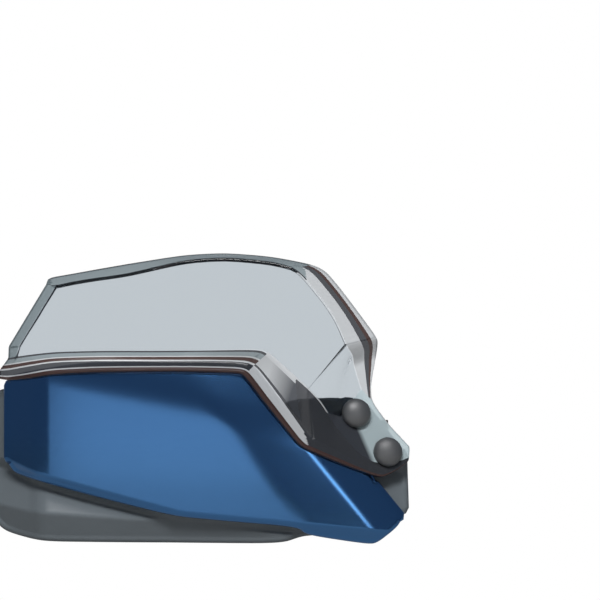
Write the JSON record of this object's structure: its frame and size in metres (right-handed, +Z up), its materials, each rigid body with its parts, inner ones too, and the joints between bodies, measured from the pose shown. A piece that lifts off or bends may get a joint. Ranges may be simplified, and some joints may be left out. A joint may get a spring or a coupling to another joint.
{
  "type": "motorcycle hand guard",
  "caption": "Motorcycle hand guard: dark grey base shell, metallic blue painted cover, clear wind deflector, and the arm and bar-end parts that hold it on a handlebar.",
  "frame": {"origin": "centre of the handlebar clamp, on the bar's axis", "axes": "+X along the bar towards the middle of the bike, -Y ahead, away from the rider, +Z up"},
  "size_m": [0.3003, 0.1185, 0.1971],
  "materials": {
    "dark_plastic": "moulded dark grey plastic with a fine grain",
    "painted_plastic": "satin metallic blue paint on a moulded plastic cover",
    "clear_plastic": "clear, lightly smoked acrylic sheet with darker cut edges",
    "black_plastic": "satin black moulded plastic",
    "plated_steel": "zinc-plated steel",
    "spacer_rubber": "black rubber",
    "cast_alloy": "cast aluminium, powder-coated black-grey",
    "dark_steel": "black oxide on turned steel"
  },
  "bodies": {
    "root": {"base_shell": "dark_plastic", "painted_cover": "painted_plastic", "wind_deflector": "clear_plastic", "cap_cup_upper": "black_plastic", "cap_cup_lower": "black_plastic", "dome_cap_upper": "black_plastic", "dome_cap_lower": "black_plastic", "deflector_bolt_upper": "plated_steel", "deflector_bolt_lower": "plated_steel", "tab_spacer_upper": "spacer_rubber", "tab_spacer_lower": "spacer_rubber", "lock_nut_upper": "plated_steel", "lock_nut_lower": "plated_steel", "mounting_arm": "cast_alloy", "clamp_cap": "cast_alloy", "clamp_screws": "plated_steel", "cover_screws": "plated_steel", "bar_end_washer": "plated_steel", "bar_end_bolt": "plated_steel", "bar_end_weight": "dark_steel", "expander_sleeve": "spacer_rubber", "expander_nut": "plated_steel"}
  },
  "joints": []
}
